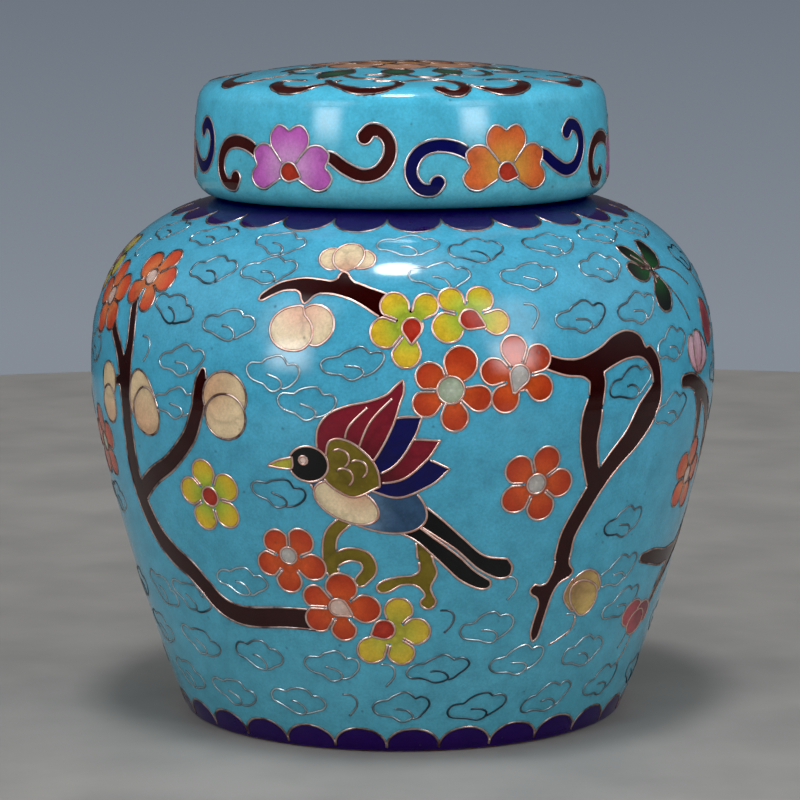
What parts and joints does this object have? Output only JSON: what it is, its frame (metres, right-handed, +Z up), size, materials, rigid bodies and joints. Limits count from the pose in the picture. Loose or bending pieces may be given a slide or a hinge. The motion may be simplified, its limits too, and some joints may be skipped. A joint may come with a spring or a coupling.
{
  "type": "cloisonne ginger jar",
  "caption": "Squat bulbous enamelled copper jar on a low foot ring, hollow, with an upright neck under a shallow domed cap that rests on its shoulder and lifts off.",
  "frame": {"origin": "middle of the foot ring, on the plane that the jar stands on", "axes": "+Z up along the axis that both pieces are turned about, -Y towards the viewer of the front"},
  "size_m": [0.104, 0.104, 0.1081],
  "materials": {
    "jar_enamel": "gloss",
    "lid_enamel": "gloss",
    "gilt_wire": "polished"
  },
  "bodies": {
    "root": {"jar": "jar_enamel", "lid": "lid_enamel"}
  },
  "joints": []
}
